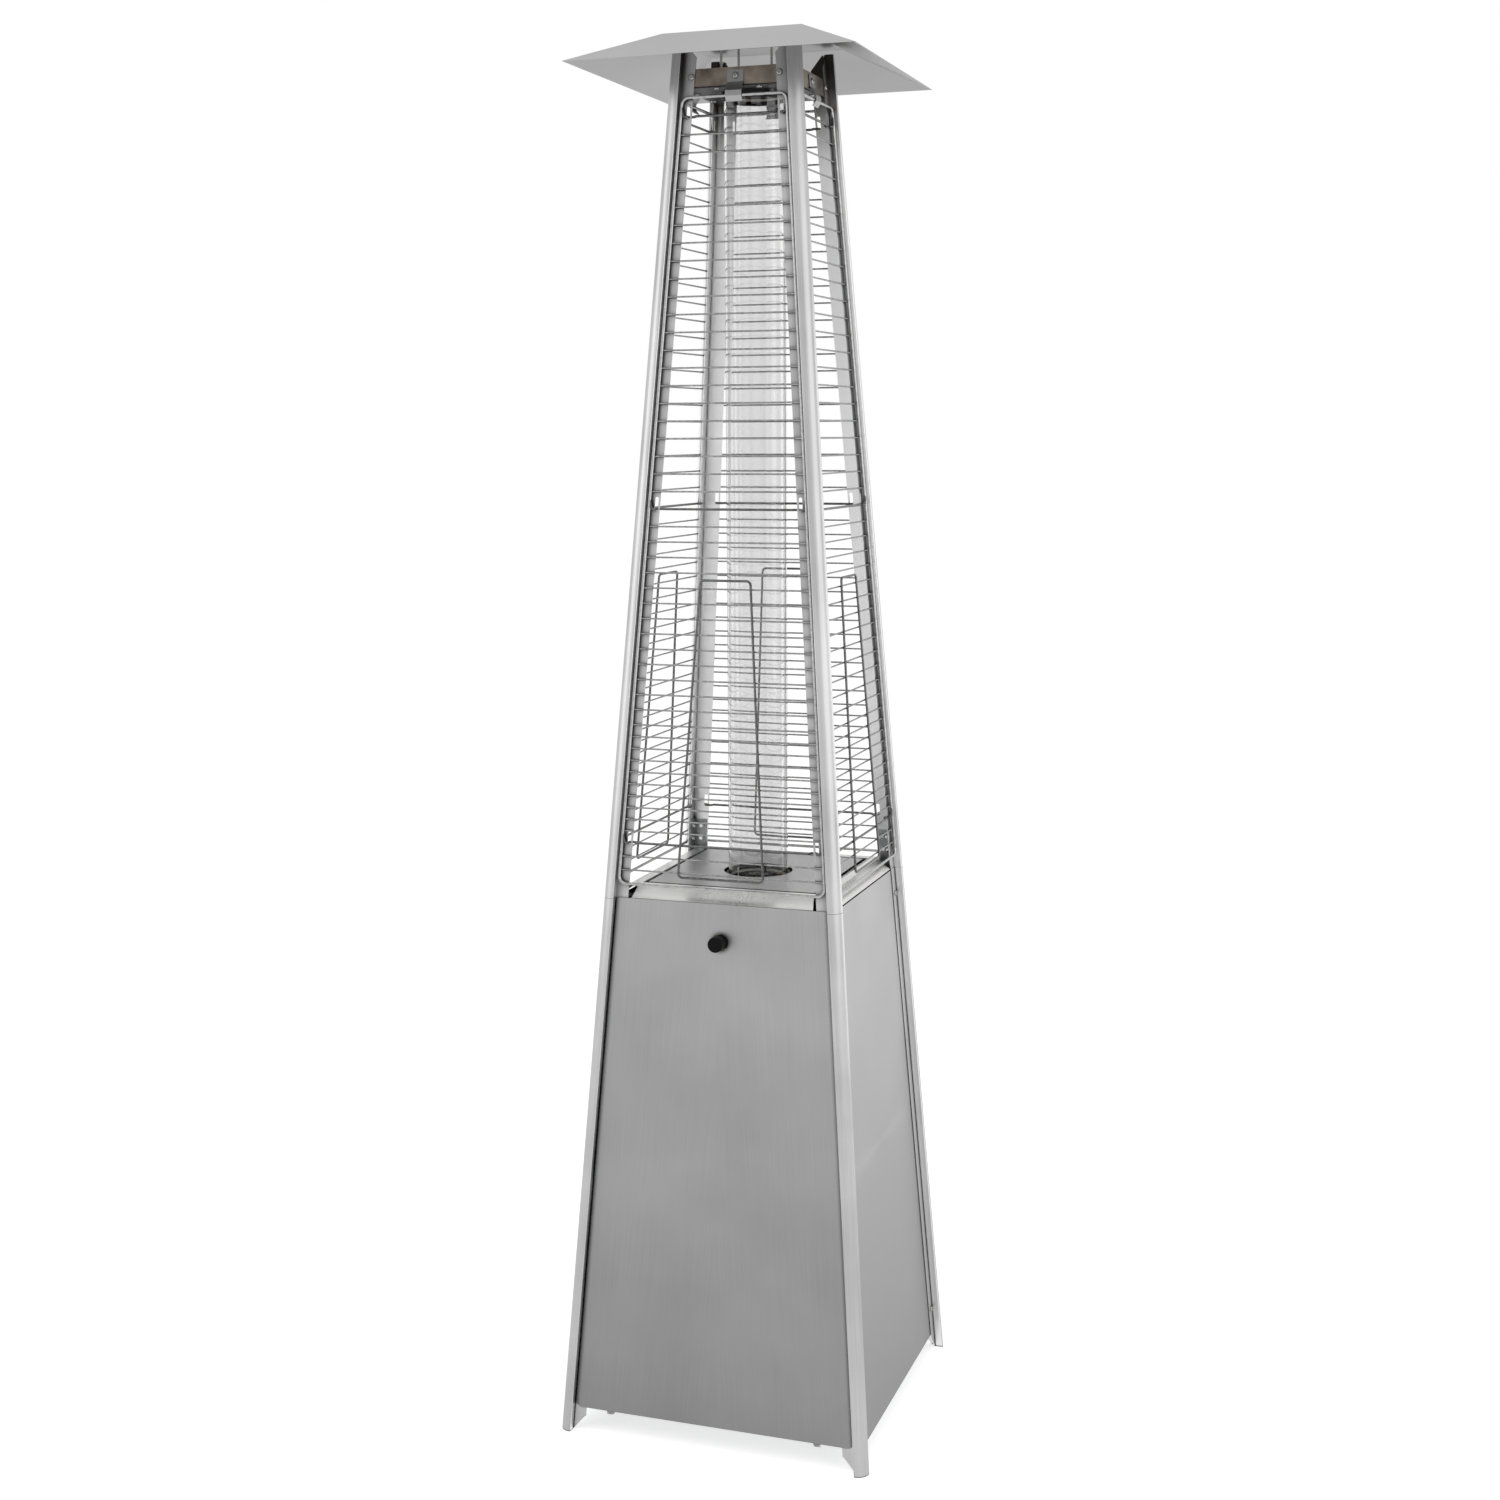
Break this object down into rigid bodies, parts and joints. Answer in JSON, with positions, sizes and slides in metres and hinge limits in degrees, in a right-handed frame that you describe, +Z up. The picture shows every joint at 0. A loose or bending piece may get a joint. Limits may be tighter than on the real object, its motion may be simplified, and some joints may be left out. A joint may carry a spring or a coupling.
{
  "type": "pyramid patio heater",
  "caption": "Free-standing pyramid gas patio heater with corner posts, wire guards, glass flame tube, square hood and a cabinet with a drop-down door.",
  "frame": {"origin": "on the floor, under the middle of the glass tube and of the four feet", "axes": "+Z up; +X to the right as seen from the front, along the door's width; the door and knob face -Y"},
  "size_m": [0.5356, 0.5356, 2.27],
  "materials": {
    "satin_stainless": "satin stainless, fine grain along each post",
    "sheet_stainless": "satin stainless sheet with an upright grain",
    "bright_stainless": "bright stainless",
    "hood_stainless": "satin stainless",
    "heat_tinted_stainless": "satin stainless, slightly brown",
    "steel_wire": "bright drawn wire",
    "bright_fasteners": "bright plated",
    "plated_sheet": "dull plated sheet",
    "black_enamel": "matt black heat-proof enamel",
    "burner_steel": "dull grey steel",
    "brass": "turned brass",
    "spindle_steel": "turned steel",
    "ceramic": "white glazed ceramic sleeve with a steel rod",
    "tube_glass": "clear heat-proof glass",
    "seal_fibre": "soft white mineral fibre",
    "black_plastic": "plain black"
  },
  "bodies": {
    "cabinet": {"post_lower_front_right": "satin_stainless", "post_lower_back_right": "satin_stainless", "post_lower_back_left": "satin_stainless", "post_lower_front_left": "satin_stainless", "post_upper_front_right": "satin_stainless", "post_upper_back_right": "satin_stainless", "post_upper_back_left": "satin_stainless", "post_upper_front_left": "satin_stainless", "panel_right": "sheet_stainless", "panel_back": "sheet_stainless", "panel_left": "sheet_stainless", "deck_plate": "sheet_stainless", "guard_clips": "sheet_stainless", "deck_skirt": "bright_stainless", "hood": "hood_stainless", "crossbar_front": "heat_tinted_stainless", "crossbar_right": "heat_tinted_stainless", "crossbar_back": "heat_tinted_stainless", "crossbar_left": "heat_tinted_stainless", "wire_guard_front": "steel_wire", "wire_guard_right": "steel_wire", "wire_guard_back": "steel_wire", "wire_guard_left": "steel_wire", "pan_screws": "bright_fasteners", "frame_nuts": "bright_fasteners", "hood_nuts": "bright_fasteners", "hood_studs": "bright_fasteners", "door_hinge_pins": "bright_fasteners", "deck_spacers": "bright_fasteners", "splice_bracket_front_right": "plated_sheet", "splice_bracket_back_right": "plated_sheet", "splice_bracket_back_left": "plated_sheet", "splice_bracket_front_left": "plated_sheet", "bottle_tray": "plated_sheet", "valve_bracket": "plated_sheet", "door_catches": "plated_sheet", "tube_holder": "black_enamel", "burner_head": "black_enamel", "burner_box": "black_enamel", "burner_plate": "black_enamel", "tube_seat": "burner_steel", "burner_screen": "burner_steel", "mixing_tube": "burner_steel", "thermocouple": "burner_steel", "burner_gas_tube": "burner_steel", "pilot_gas_tube": "burner_steel", "gas_injector": "brass", "pilot_burner": "brass", "gas_valve": "brass", "valve_nut": "brass", "gas_inlet": "brass", "ignition_electrode": "ceramic", "glass_tube": "tube_glass", "tube_seals": "seal_fibre", "tilt_switch": "black_plastic"},
    "door": {"door_panel": "sheet_stainless"},
    "valve_spindle": {"valve_spindle": "spindle_steel"},
    "knob": {"control_knob": "black_plastic"}
  },
  "joints": [
    {"name": "door_hinge", "type": "hinge", "parent": "cabinet", "child": "door", "pos_m": [0, -0.24929, 0.0363], "axis": [1, 0, 0], "range_deg": [0, 94]},
    {"name": "knob_push", "type": "slide", "parent": "cabinet", "child": "valve_spindle", "axis": [0, 0.9974, -0.0718], "range_m": [0, 0.003], "stiffness_N_per_m": 1500, "springref_m": -0.001},
    {"name": "knob_turn", "type": "hinge", "parent": "valve_spindle", "child": "knob", "pos_m": [0, -0.20605, 0.84279], "axis": [0, -0.9974, 0.0718], "range_deg": [0, 180]}
  ]
}
